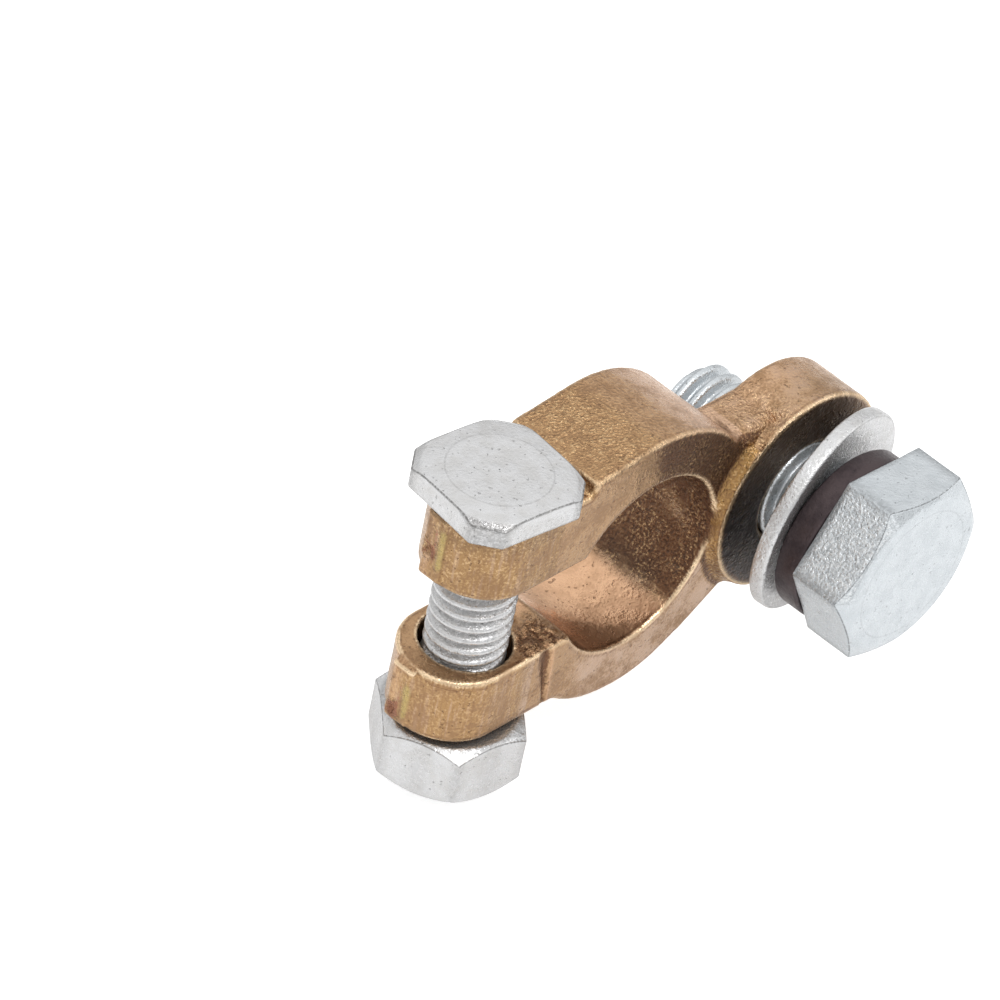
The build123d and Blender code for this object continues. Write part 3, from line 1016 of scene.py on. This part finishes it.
def makeCamera():
    place = cameraPlace
    azimuth, elevation, roll = (math.radians(place[key]) for key in ("azimuth", "elevation", "roll"))
    forward = Vector((-math.sin(azimuth) * math.cos(elevation), math.cos(azimuth) * math.cos(elevation),
                      -math.sin(elevation)))
    level = Vector((math.cos(azimuth), math.sin(azimuth), 0))
    upright = level.cross(forward)
    right = level * math.cos(roll) - upright * math.sin(roll)
    up = level * math.sin(roll) + upright * math.cos(roll)
    target = right * place["right"] + up * place["up"]
    spot = (target - forward * place["distance"]) * mm
    camera = bpy.data.objects.new("camera", bpy.data.cameras.new("camera"))
    camera.data.sensor_width = place["sensor"]
    camera.data.lens = place["sensor"] * place["pixelsPerMm"] * place["distance"] / place["frame"]
    camera.data.clip_start = 0.01
    camera.data.clip_end = 20
    turned = Matrix((right, up, -forward)).transposed().to_4x4()
    camera.matrix_world = Matrix.Translation(spot) @ turned
    scene.collection.objects.link(camera)
    scene.camera = camera


# the side in metres, and how far below the lowest solid in mm; the glow keeps it white to the camera
floorLook = {"size": 1.2, "below": 0.6, "colour": (0.86, 0.86, 0.86, 1), "roughness": 0.9, "specular": 0.1,
             "glow": 0.62, "reflectedGlow": 0.22}


def makeFloor():
    look = floorLook
    half = look["size"] / 2
    height = min(boltLow.z, bodyLow.z) - look["below"] * mm
    mesh = bpy.data.meshes.new("floor")
    corners = [(-half, -half), (half, -half), (half, half), (-half, half)]
    mesh.from_pydata([(x, y, height) for x, y in corners], [], [(0, 1, 2, 3)])
    floor = bpy.data.objects.new("floor", mesh)
    scene.collection.objects.link(floor)
    material, tree, shader = newMaterial("floorPaper")
    shader.inputs["Base Color"].default_value = look["colour"]
    shader.inputs["Roughness"].default_value = look["roughness"]
    shader.inputs["Specular IOR Level"].default_value = look["specular"]
    shader.inputs["Emission Color"].default_value = (1, 1, 1, 1)
    path = addNode(tree, "ShaderNodeLightPath")
    reflected = times(tree, path.outputs["Is Glossy Ray"], look["reflectedGlow"])
    seen = times(tree, path.outputs["Is Camera Ray"], look["glow"])
    tree.links.new(plus(tree, seen, reflected), shader.inputs["Emission Strength"])
    mesh.materials.append(material)


# light from the surroundings, weak from below and strong from above; the camera sees plain white
worldLook = {"lowZ": -0.2, "highZ": 0.9, "lowLight": 0.42, "highLight": 1.12}


def makeWorld():
    world = bpy.data.worlds.new("studio")
    scene.world = world
    world.use_nodes = True
    tree = world.node_tree
    path = addNode(tree, "ShaderNodeLightPath")
    where = addNode(tree, "ShaderNodeTexCoord").outputs["Generated"]
    split = addNode(tree, "ShaderNodeSeparateXYZ")
    tree.links.new(where, split.inputs[0])
    look = worldLook
    sky = rangeNode(tree, split.outputs["Z"], look["lowZ"], look["highZ"], look["lowLight"], look["highLight"])
    strength = addNode(tree, "ShaderNodeMix", data_type="FLOAT")
    setInput(tree, strength, 0, path.outputs["Is Camera Ray"])
    tree.links.new(sky, strength.inputs[2])
    strength.inputs[3].default_value = 1.0
    back = tree.nodes["Background"]
    back.inputs["Color"].default_value = (1, 1, 1, 1)
    tree.links.new(strength.outputs[0], back.inputs["Strength"])


# places and disc sizes in metres, power in watts; each lamp points at the origin
lamps = {
    "key": {"from": (-0.04, -0.16, 0.34), "size": 0.16, "power": 0.30},
    "left": {"from": (-0.34, 0.02, 0.12), "size": 0.16, "power": 0.02},
    "right": {"from": (0.25, -0.20, 0.12), "size": 0.16, "power": 0.10},
}


def makeLamps():
    for name, lamp in lamps.items():
        light = bpy.data.lights.new(name, "AREA")
        light.shape = "DISK"
        light.size = lamp["size"]
        light.energy = lamp["power"]
        holder = bpy.data.objects.new(name, light)
        holder.location = lamp["from"]
        holder.rotation_euler = (-Vector(lamp["from"])).to_track_quat("-Z", "Y").to_euler()
        scene.collection.objects.link(holder)


makeCamera()
makeFloor()
makeWorld()
makeLamps()
print("camera, floor and light set")
